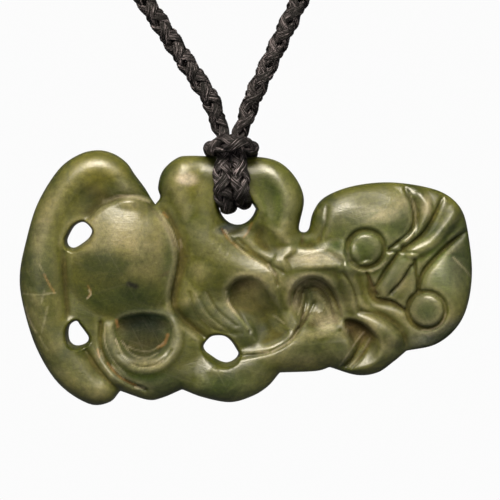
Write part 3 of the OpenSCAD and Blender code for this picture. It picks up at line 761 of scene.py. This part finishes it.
def stone_mesh():
    """The stone as one closed mesh. Cells are cut at its edges, or their corners pulled there."""
    # A grid corner's state is 1 inside the stone, 0 at its edge and -1 outside it.
    pull = 0.4 * cell
    state = np.where(np.abs(depth_in) < pull, 0, np.sign(depth_in)).astype(int)
    plan = places.copy()
    small = cell / 20
    onto = np.flatnonzero(state == 0)
    distance_to = {True: to_holes, False: lambda p: inside_line(p, rim_line)}
    for by_hole in (True, False):
        some = onto[(hole_in[onto] < rim_in[onto]) == by_hole]
        p = places[some]
        d = depth_in[some]
        measure = distance_to[by_hole]
        slope = np.stack([measure(p + step) - d for step in ((small, 0), (0, small))], 1)
        plan[some] = p - slope * (d / np.maximum(np.hypot(*slope.T), small / 2))[:, None]
    heights = [(front[i], back[i]) if state[i] == 1 else (rim_band / 2, rim_band / 2)
               for i in range(len(plan))]
    plan = [tuple(p) for p in plan]
    crossing = {}

    def crossing_of(i, j):
        pair = (min(i, j), max(i, j))
        if pair not in crossing:
            share = depth_in[i] / (depth_in[i] - depth_in[j])
            crossing[pair] = len(plan)
            plan.append(tuple(places[i] + (places[j] - places[i]) * share))
            heights.append((rim_band / 2, rim_band / 2))
        return crossing[pair]

    # Round a cell. Columns: steps right and up to a corner, and the step to the cell beyond.
    turns = ((0, 0, -columns), (1, 0, 1), (1, 1, columns), (0, 1, -1))
    filled = np.zeros(len(places), bool)
    grid = state.reshape(rows_up, columns)
    any_in = np.maximum.reduce([grid[:-1, :-1], grid[1:, :-1], grid[:-1, 1:], grid[1:, 1:]]) == 1
    filled.reshape(rows_up, columns)[:-1, :-1] = any_in
    tops, walls = [], []
    for cell_at in np.flatnonzero(filled):
        corners = [cell_at + x + y * columns for x, y, _ in turns]
        ring = []
        for k in range(4):
            i, j = corners[k], corners[(k + 1) % 4]
            if state[i] >= 0:
                beyond = cell_at + turns[k][2]
                open_side = state[j] == -1 or (state[j] == 0 and not filled[beyond])
                ring.append((i, state[i] == 0 and open_side))
            if state[i] * state[j] == -1:
                ring.append((crossing_of(i, j), state[i] == 1))
        tops.append([point for point, _ in ring])
        n = len(ring)
        walls += [(ring[k][0], ring[(k + 1) % n][0]) for k in range(n) if ring[k][1]]
    used = sorted({i for top in tops for i in top})
    number = {i: n for n, i in enumerate(used)}
    count = len(used)
    points = [(plan[i][0], plan[i][1], heights[i][face] * (1, -1)[face])
              for face in (0, 1) for i in used]
    faces = [[number[i] for i in top] for top in tops]
    faces += [[number[i] + count for i in reversed(top)] for top in tops]
    faces += [[number[b], number[a], number[a] + count, number[b] + count] for a, b in walls]
    points = np.array(points)
    turned = np.stack([points[:, 0] - hitch_u, -points[:, 2], points[:, 1] - top_edge], 1) + hang
    return turned, faces, points


stone_points, stone_faces, stone_plan = stone_mesh()
stone = mesh_object("stone", stone_points, stone_faces)

# Colours of the stone, and where each lies. Many rows are painted light and shade, not the
# stone's own colour: darker rows on down-facing slopes, on shaded hollow walls and over places
# that catch too much light are painted shade, and cream and taupe rows on lit forms and on walls
# in shade are painted highlights and painted light. The rest are the stone's own clouding.
# Columns: colour, strength, x, y, half length, half width, turn.
colours = {
    "olive": (0.039, 0.043, 0.005), "yellow": (0.076, 0.074, 0.009), "taupe": (0.096, 0.090, 0.037),
    "deep": (0.011, 0.021, 0.002), "leaf": (0.030, 0.052, 0.007), "cream": (0.280, 0.255, 0.165),
    "brown": (0.030, 0.021, 0.008), "crust": (0.260, 0.130, 0.040), "blue": (0.036, 0.046, 0.052),
    "slate": (0.013, 0.029, 0.024), "black": (0.003, 0.003, 0.002),
}
tints_and_painted_light = [
    ("yellow", 0.8, 90, 172, 42, 22, 0), ("deep", 0.5, 44, 262, 18, 40, 0),
    ("yellow", 0.3, 60, 350, 24, 50, -30), ("deep", 0.4, 58, 370, 14, 26, -35),
    ("taupe", 0.9, 120, 235, 54, 44, 0), ("taupe", 0.5, 152, 258, 24, 34, 0),
    ("deep", 0.35, 104, 240, 14, 26, 0), ("deep", 0.7, 111, 345, 8, 20, 0),
    ("deep", 0.8, 130, 294, 46, 18, 5), ("deep", 0.5, 120, 190, 14, 12, 0),
    ("deep", 0.7, 170, 262, 10, 40, 0), ("deep", 0.5, 67, 280, 7, 36, 0),
    ("deep", 0.5, 86, 302, 22, 22, 0), ("brown", 0.3, 96, 192, 20, 8, -25),
    ("taupe", 0.4, 47, 214, 10, 36, -20), ("slate", 1, 145, 328, 30, 22, 0),
    ("deep", 1, 145, 344, 28, 14, 0), ("brown", 0.5, 143, 360, 26, 6, 0),
    ("black", 0.3, 145, 342, 26, 16, 0), ("deep", 0.9, 145, 376, 40, 12, 0),
    ("deep", 0.7, 160, 385, 40, 16, 0), ("taupe", 0.15, 180, 364, 14, 14, 0),
    ("yellow", 0.4, 190, 178, 22, 16, 0), ("leaf", 0.5, 276, 196, 24, 36, 10),
    ("deep", 0.3, 272, 192, 14, 20, 0), ("taupe", 0.5, 250, 292, 26, 34, -40),
    ("taupe", 0.9, 246, 282, 20, 9, 0), ("cream", 0.38, 318, 256, 30, 10, 3),
    ("cream", 0.9, 310, 281, 24, 10, 0), ("cream", 0.6, 334, 257, 10, 7, 0),
    ("taupe", 0.9, 318, 312, 20, 16, 0), ("cream", 0.6, 319, 310, 17, 14, 0),
    ("cream", 0.9, 328, 322, 13, 9, 30), ("brown", 0.7, 362, 332, 16, 14, 0),
    ("leaf", 0.6, 230, 386, 44, 16, 0), ("taupe", 0.7, 312, 354, 34, 12, 0),
    ("deep", 0.6, 340, 350, 14, 10, 0), ("leaf", 0.6, 372, 240, 50, 40, 0),
    ("leaf", 0.6, 440, 262, 40, 50, 0), ("deep", 0.4, 396, 228, 14, 24, 0),
    ("blue", 0.6, 440, 334, 44, 14, 20), ("brown", 0.8, 350, 326, 11, 8, 40),
    ("blue", 0.4, 396, 368, 24, 8, 20), ("taupe", 0.6, 386, 350, 16, 12, 0),
    ("taupe", 0.4, 350, 212, 34, 16, 0), ("cream", 0.4, 376, 213, 26, 10, 0),
    ("blue", 0.9, 230, 227, 15, 6, 12), ("brown", 0.5, 236, 230, 16, 5, 0),
    ("deep", 0.95, 426, 309, 20, 20, 0), ("deep", 0.25, 365, 247, 16, 16, 0),
    ("deep", 0.38, 398, 278, 36, 32, 0), ("deep", 0.85, 458, 262, 18, 36, 0),
    ("black", 0.3, 456, 262, 14, 32, 0), ("black", 0.2, 440, 330, 26, 10, -20),
    ("deep", 0.6, 440, 330, 30, 12, -20), ("deep", 0.4, 197, 221, 14, 18, 0),
    ("deep", 0.5, 455, 230, 14, 20, 0), ("deep", 0.5, 306, 348, 34, 12, 8),
    ("deep", 0.4, 262, 368, 20, 12, 0), ("deep", 0.5, 303, 240, 16, 8, 0),
    ("taupe", 0.6, 346, 300, 14, 14, 0), ("cream", 0.7, 188, 178, 12, 7, 0),
    ("cream", 0.25, 402, 206, 14, 11, 0), ("cream", 0.5, 425, 204, 6, 11, -10),
    ("taupe", 0.9, 391, 345, 9, 13, 0), ("cream", 0.15, 391, 345, 8, 12, 0),
    ("leaf", 0.7, 436, 254, 12, 9, 0), ("deep", 0.6, 374, 347, 6, 9, 30),
    ("taupe", 0.65, 402, 284, 11, 11, 0), ("olive", 0.65, 122, 252, 16, 10, 0),
    ("deep", 0.42, 286, 202, 9, 15, 0), ("deep", 0.45, 440, 276, 13, 11, 0),
    ("deep", 0.4, 330, 216, 9, 11, 0), ("deep", 0.32, 200, 240, 13, 13, 0),
    ("deep", 0.32, 42, 226, 9, 15, 0), ("taupe", 0.9, 314, 294, 19, 12, 0),
    ("cream", 0.5, 312, 299, 15, 10, 0), ("cream", 0.55, 296, 302, 5, 10, 0),
    ("leaf", 0.8, 336, 245, 10, 7, 0), ("deep", 0.4, 338, 244, 9, 6, 0),
    ("deep", 0.7, 143, 312, 26, 5, 0), ("slate", 0.5, 143, 316, 24, 5, 0),
    ("taupe", 0.35, 34, 300, 7, 20, 0), ("taupe", 0.35, 60, 344, 12, 15, -30),
    ("taupe", 0.45, 150, 362, 18, 5, 0),
]

# Places that have lost their polish. Columns: strength, x, y, half length, half width, turn.
dull = [
    (0.9, 197, 221, 16, 22, 0), (0.8, 160, 218, 14, 18, 0), (0.9, 145, 374, 44, 16, 0),
    (0.7, 110, 345, 12, 26, 0), (0.7, 456, 262, 18, 34, 0), (0.6, 440, 330, 36, 20, -20),
    (0.6, 305, 240, 22, 9, 0), (0.4, 45, 256, 16, 40, 0), (0.6, 320, 320, 26, 18, 0),
    (1, 318, 335, 36, 8, 4), (0.6, 214, 310, 24, 22, 40), (0.5, 440, 212, 14, 12, 0),
    (0.5, 104, 236, 16, 24, 0), (0.5, 168, 260, 10, 36, 0), (0.5, 366, 199, 24, 9, 0),
    (0.9, 337, 244, 12, 8, 0),
]

# Thin marks and veins, among them painted highlights along lit edges and painted shade along
# carved edges. Columns: colour, strength, half width, route.
marks = [
    ("cream", 0.2, 1, [(41, 262), (47, 274)]), ("crust", 0.4, 1, [(46, 272), (50, 281), (56, 291)]),
    ("cream", 0.3, 1, [(24, 292), (36, 293), (57, 291)]),
    ("brown", 0.6, 1.3, [(290, 304), (290, 291), (297, 278), (308, 273)]),
    ("brown", 0.6, 1.3, [(322, 277), (333, 287), (338, 300), (342, 315)]),
    ("cream", 0.5, 1, [(409, 192), (413, 204), (415, 218), (413, 230), (405, 240)]),
    ("brown", 0.7, 2.2, [(368, 275), (372, 284), (376, 292)]),
    ("brown", 0.5, 1.6, [(381, 298), (392, 301), (402, 306)]),
    ("deep", 0.6, 2.2, [(409, 268), (400, 280), (390, 291)]),
    ("cream", 0.35, 0.9, [(445, 312), (441, 322), (432, 328), (422, 329)]),
    ("deep", 0.6, 1.6, [(314, 245), (326, 252), (338, 260)]),
    ("cream", 0.3, 1, [(452, 256), (461, 265), (470, 275)]),
    ("cream", 0.35, 0.9, [(346, 254), (350, 263), (358, 268), (368, 270), (378, 267), (385, 260)]),
    ("cream", 0.2, 1.3, [(46, 288), (43, 300)]),
    ("cream", 0.35, 1.4, [(26, 306), (30, 318), (37, 331)]),
    ("cream", 0.22, 1.4, [(49, 305), (46, 318), (43, 330)]),
    ("cream", 0.25, 1.4, [(41, 335), (45, 343), (49, 348)]),
    ("crust", 0.3, 1.2, [(89, 284), (92, 290), (89, 296)]),
    ("cream", 0.5, 1.1, [(90, 288), (92, 293), (88, 297)]),
    ("black", 1, 3.4, [(130, 281), (137, 284)]), ("brown", 0.6, 2, [(163, 274), (169, 270)]),
    ("crust", 0.35, 1.2, [(222, 228), (229, 238), (238, 246)]),
    ("cream", 0.5, 1.1, [(225, 229), (232, 240)]),
    ("crust", 0.3, 1.4, [(252, 222), (248, 231), (244, 236)]),
    ("crust", 0.6, 1.4, [(117, 319), (118, 326)]),
    ("crust", 0.5, 1.8, [(168, 334), (165, 342), (158, 347)]),
    ("crust", 0.5, 1.2, [(98, 348), (100, 356)]), ("cream", 0.5, 1.2, [(101, 350), (104, 358)]),
    ("crust", 0.5, 1.3, [(108, 362), (120, 375), (136, 384)]),
    ("cream", 0.5, 1.2, [(112, 364), (124, 376)]), ("cream", 0.6, 1.6, [(136, 386), (144, 387)]),
    ("cream", 0.45, 1, [(116, 338), (124, 354), (136, 364), (152, 365), (164, 358)]),
    ("cream", 0.35, 0.9, [(122, 340), (132, 353), (146, 357), (158, 352)]),
    ("cream", 0.35, 0.9, [(106, 322), (105, 338), (112, 356), (126, 372)]),
    ("cream", 0.35, 0.9, [(128, 346), (138, 350), (152, 350), (164, 342)]),
    ("crust", 0.4, 1.6, [(164, 212), (168, 216)]),
    ("cream", 0.6, 2.4, [(105, 201), (122, 195), (140, 196), (150, 200)]),
    ("brown", 0.5, 2, [(150, 206), (166, 222), (176, 244)]),
    ("cream", 0.3, 1, [(160, 210), (172, 228), (180, 250)]),
    ("cream", 0.35, 1.4, [(181, 238), (182, 246)]), ("cream", 0.5, 1.4, [(268, 263), (276, 272)]),
    ("cream", 0.4, 1, [(236, 244), (250, 256), (264, 264), (276, 274)]),
    ("cream", 0.35, 1.1, [(274, 315), (284, 322)]), ("brown", 0.6, 2, [(303, 233), (302, 240)]),
    ("cream", 0.85, 1.5, [(227, 290), (229, 303), (238, 315), (248, 327)]),
    ("cream", 0.35, 0.9, [(232, 282), (238, 277), (246, 275)]),
    ("cream", 0.18, 0.9, [(196, 292), (204, 310), (222, 326)]),
    ("cream", 0.18, 0.8, [(205, 290), (214, 306), (232, 324)]),
    ("cream", 0.15, 0.8, [(190, 296), (198, 314), (214, 328)]),
    ("cream", 0.5, 1.2, [(244, 352), (256, 350), (268, 350)]),
    ("cream", 0.45, 1, [(272, 350), (288, 341), (300, 328)]),
    ("brown", 0.7, 1.4, [(306, 290), (306, 304), (301, 320), (290, 336)]),
    ("brown", 0.6, 1.2, [(315, 302), (309, 314), (300, 328)]),
    ("cream", 0.5, 0.9, [(303, 288), (303, 300), (298, 314)]),
    ("cream", 0.5, 0.9, [(311, 296), (308, 308), (302, 318)]),
    ("cream", 0.45, 0.9, [(294, 300), (298, 289), (308, 282)]),
    ("brown", 0.5, 1, [(297, 304), (301, 293), (311, 286), (320, 288)]),
    ("cream", 0.4, 0.9, [(314, 284), (324, 290), (333, 306)]),
    ("brown", 0.5, 1, [(320, 294), (328, 304), (334, 318)]),
    ("cream", 0.5, 0.9, [(318, 296), (325, 306), (331, 320)]),
    ("brown", 0.4, 0.9, [(312, 314), (320, 318), (330, 316)]),
    ("brown", 0.4, 0.9, [(310, 322), (320, 326), (330, 322)]),
    ("cream", 0.3, 1.2, [(326, 208), (324, 222)]), ("taupe", 0.6, 1.6, [(348, 348), (360, 332)]),
    ("cream", 0.4, 1.2, [(340, 364), (352, 346), (364, 332)]),
    ("cream", 0.3, 1.2, [(350, 366), (362, 352), (370, 338)]),
]
tint_spread = 1.3
rough_colours = ("brown", "slate", "blue")

# Tints that also show on the back: their colours, least half length, and share of their strength
through_colours = ("yellow", "taupe", "leaf")
through_l = 20
through_share = 0.6


def tinted_towards(shade, name, share):
    """Colours drawn towards a listed colour: the stone's own tints, painted highlights and shade.
    """
    return shade + share[:, None] * (np.array(colours[name]) - shade)


def stone_colour_and_painted_light(places, in_front):
    """Colour with painted highlights and shade, before clouding. Only broad tints reach the back.
    """
    shade = np.tile(np.array(colours["olive"]), (len(places), 1))
    for name, strength, x, y, half_l, half_w, turn in tints_and_painted_light:
        spread = domed(places, x, y, half_l * tint_spread, half_w * tint_spread, turn) ** 2
        behind = through_share if name in through_colours and half_l > through_l else 0
        shade = tinted_towards(shade, name, strength * (behind + (1 - behind) * in_front) * spread)
    for name, strength, half, route in marks:
        line = smooth_line([spot(*point) for point in route], carved_steps)
        near = to_line(places, line)[0] / (half * unit)
        shade = tinted_towards(shade, name, strength * in_front * np.maximum(1 - near, 0) ** 0.5)
    return shade


def rough_places(places, in_front):
    """How unpolished the front is where it is dull, or where its tint is a rough one."""
    total = np.zeros(len(places))
    for name, strength, x, y, half_l, half_w, turn in tints_and_painted_light:
        if name in rough_colours:
            spread = domed(places, x, y, half_l * tint_spread, half_w * tint_spread, turn)
            total += strength * spread
    for strength, x, y, half_l, half_w, turn in dull:
        total += strength * domed(places, x, y, half_l, half_w, turn)
    return total * in_front


def sampled(values, places):
    """Values of the grid at places, blended between the nearest four."""
    grid = values.reshape(rows_up, columns)
    fx = np.clip(places[:, 0] / cell + 1, 0, columns - 1.001)
    fy = np.clip(places[:, 1] / cell + 1, 0, rows_up - 1.001)
    ix, iy = fx.astype(int), fy.astype(int)
    tx, ty = fx - ix, fy - iy
    return ((grid[iy, ix] * (1 - tx) + grid[iy, ix + 1] * tx) * (1 - ty)
            + (grid[iy + 1, ix] * (1 - tx) + grid[iy + 1, ix + 1] * tx) * ty)


front_grid = np.where(depth_in > 0, front, rim_band / 2).reshape(rows_up, columns)


def sunk_in(width):
    """How far the carved face lies below the face round it, smoothed over a width in cells."""
    lower = sampled((softened(front_grid, width) - front_grid).ravel(), stone_plan[:, :2])
    return np.where(stone_plan[:, 2] > 0, lower, 0)


# Painted shade darkens the grooves and hollows towards brown, and a painted highlight pales the
# crests, away from the stone's edges. Each tells by its width in cells, by how soon its depth
# counts in full, and by its strength.
groove_cells = 2.5
hollow_cells = 9
groove_gain = 7
hollow_gain = 1.1
crest_gain = 9
groove_shade = 0.40
hollow_shade = 0.25
crest_highlight = 0.14
sunk = sunk_in(groove_cells)
inner = np.clip(sampled(depth_in, stone_plan[:, :2]) / 2 - 0.2, 0, 1)
groove = np.clip(sunk * groove_gain, 0, 1) * inner
crest = np.clip(-sunk * crest_gain, 0, 1) * inner
hollowed = np.clip(sunk_in(hollow_cells) * hollow_gain, 0, 1) * inner
in_front = np.clip(stone_plan[:, 2] / rim_band + 0.5, 0, 1)
shade = stone_colour_and_painted_light(stone_plan[:, :2], in_front)
# Painted shade in the grooves and hollows, and a painted highlight on the crests
shade = tinted_towards(shade, "brown", groove_shade * groove)
shade = tinted_towards(shade, "brown", hollow_shade * hollowed)
shade = tinted_towards(shade, "cream", crest_highlight * crest)
unpolished = np.clip(hollowed + 0.5 * groove + rough_places(stone_plan[:, :2], in_front), 0, 1)


def add_values(made, name, kind, key, values):
    """Values for each point of a mesh, which its material reads by name."""
    layer = made.data.attributes.new(name, kind, "POINT")
    layer.data.foreach_set(key, np.asarray(values, np.float32).ravel())


opaque = np.ones((len(shade), 1))
# The tint holds the stone's colours together with its painted highlights and painted shade.
add_values(stone, "tint", "FLOAT_COLOR", "color", np.concatenate([shade, opaque], 1))
add_values(stone, "unpolished", "FLOAT", "value", unpolished)
rub_turns = (15, 62, 118, 160)


def scratches(tree, place):
    """Fine straight scratches that cross each other in a few directions, from 0 to 1."""
    total = None
    for turn in rub_turns:
        rotation = (0, math.radians(turn), 0)
        turned = shader_node(tree, "Mapping", {"Vector": place, "Rotation": rotation})
        line = noise(tree, stretched(tree, turned.outputs["Vector"], (90, 90, 2600)), 1.0, 1.0, 0.4)
        line = ranged(tree, line, 0.62, 0.74)
        total = line if total is None else combined(tree, "MAXIMUM", total, line)
    return total


def nephrite():
    """Polished river nephrite: olive to grey green with cloudy paler veins and a waxy depth."""
    material, tree, shader = new_material(
        "nephrite", Roughness=0.38, IOR=1.61, Subsurface_Weight=0.25,
        Subsurface_Radius=(0.9, 1.0, 0.45), Subsurface_Scale=0.0016, Coat_Weight=0.0)
    place = shader_node(tree, "TexCoord").outputs["Object"]
    cloud = noise(tree, place, 90.0, 5.0, 0.6, 0.6)
    vein = noise(tree, stretched(tree, place, (40, 60, 120)), 1.0, 6.0, 0.65, 1.2)
    speck = noise(tree, place, 900.0, 2.0, 0.7)
    # The tint brings in painted highlights and painted shade along with the stone's colours.
    tint = shader_node(tree, "Attribute", attribute_name="tint").outputs["Color"]
    dark = blended(tree, 1.0, tint, (0.46, 0.54, 0.40, 1), blend_type="MULTIPLY")
    light = blended(tree, 1.0, tint, (1.55, 1.45, 1.60, 1), blend_type="MULTIPLY")
    green = blended(tree, ranged(tree, cloud, 0.38, 0.62), dark, light)
    veined = blended(tree, 1.0, green, (2.3, 2.1, 3.2, 1), blend_type="MULTIPLY")
    pale = blended(tree, ranged(tree, vein, 0.54, 0.74, 0, 0.4), green, veined)
    mottle = ranged(tree, noise(tree, place, 1400.0, 3.0, 0.75), 0.3, 0.7, 0.72, 1.3)
    mottled = shader_node(tree, "VectorMath", {0: pale, 1: mottle}, operation="MULTIPLY")
    scratch = scratches(tree, place)
    rubbed_pale = blended(tree, ranged(tree, scratch, 0, 1, 0, 0.035), mottled.outputs["Vector"],
                          (0.26, 0.24, 0.17, 1))
    colour = blended(tree, ranged(tree, speck, 0.68, 0.8, 0, 0.3), rubbed_pale,
                     (0.05, 0.05, 0.02, 1))
    tree.links.new(colour, shader.inputs["Base Color"])
    rubbed = shader_node(tree, "Attribute", attribute_name="unpolished").outputs["Fac"]
    smear = noise(tree, place, 260.0, 4.0, 0.7)
    rough = combined(tree, "ADD", ranged(tree, rubbed, 0, 1, 0.35, 0.85),
                     ranged(tree, smear, 0.3, 0.7, -0.06, 0.10))
    tree.links.new(rough, shader.inputs["Roughness"])
    tree.links.new(ranged(tree, rubbed, 0.1, 1, 0.46, 0.12), shader.inputs["Specular IOR Level"])
    rub = noise(tree, stretched(tree, place, (260, 260, 1600)), 1.0, 3.0, 0.6, 0.4)
    pits = noise(tree, place, 1500.0, 2.0, 0.6)
    worn = combined(tree, "SUBTRACT", combined(tree, "ADD", rub, pits),
                    ranged(tree, scratch, 0, 1, 0, 0.22))
    bump = shader_node(tree, "Bump", {"Height": worn, "Strength": 0.32, "Distance": 0.0001})
    tree.links.new(bump.outputs["Normal"], shader.inputs["Normal"])
    return material


stone.data.materials.append(nephrite())
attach(stone, "root")
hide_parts("tiki")

# The stage
# A plain pale floor below the hanging pendant, one soft light high in front of it, a weaker one
# straight in front and one behind, and an even pale room all round.
floor_z = -0.42
floor_half = 4.0
backdrop = 0.97
room_glow = 0.14
floor = mesh_object("floor", [(x * floor_half / MM, y * floor_half / MM, floor_z / MM)
                              for x, y in ((-1, -1), (1, -1), (1, 1), (-1, 1))], [(0, 1, 2, 3)])
floor_paint, _, _ = new_material(
    "floor_paint", Base_Color=(0, 0, 0, 1), Roughness=1.0, Specular_IOR_Level=0.0,
    Emission_Color=(1, 1, 1, 1), Emission_Strength=backdrop)
floor.data.materials.append(floor_paint)
floor.visible_diffuse = False
floor.visible_glossy = False


def soft_light(name, place, width, power, colour):
    """A square lamp that faces the middle of the stone. Returns its object."""
    lamp = bpy.data.objects.new(name, bpy.data.lights.new(name, "AREA"))
    bpy.context.scene.collection.objects.link(lamp)
    lamp.data.size = width
    lamp.data.energy = power
    lamp.data.color = colour
    lamp.location = aim + Vector(place)
    lamp.rotation_euler = (aim - lamp.location).to_track_quat("-Z", "Y").to_euler()
    return lamp


soft_light("upper_lamp", (-0.06, -0.48, 0.48), 0.42, 13.5, (1.0, 0.91, 0.75))
soft_light("front_lamp", (0.10, -0.80, 0.10), 0.50, 2.6, (1.0, 0.96, 0.80)).visible_glossy = False
soft_light("back_lamp", (0.20, 0.75, 0.35), 0.50, 7.0, (1.0, 0.96, 0.84)).visible_glossy = False
room = bpy.data.worlds.new("room")
bpy.context.scene.world = room
room.use_nodes = True
seen = shader_node(room.node_tree, "LightPath").outputs["Is Camera Ray"]
glow = room.node_tree.nodes["Background"]
strength = ranged(room.node_tree, seen, 0, 1, room_glow, backdrop)
room.node_tree.links.new(strength, glow.inputs["Strength"])
glow.inputs["Color"].default_value = (1, 1, 1, 1)
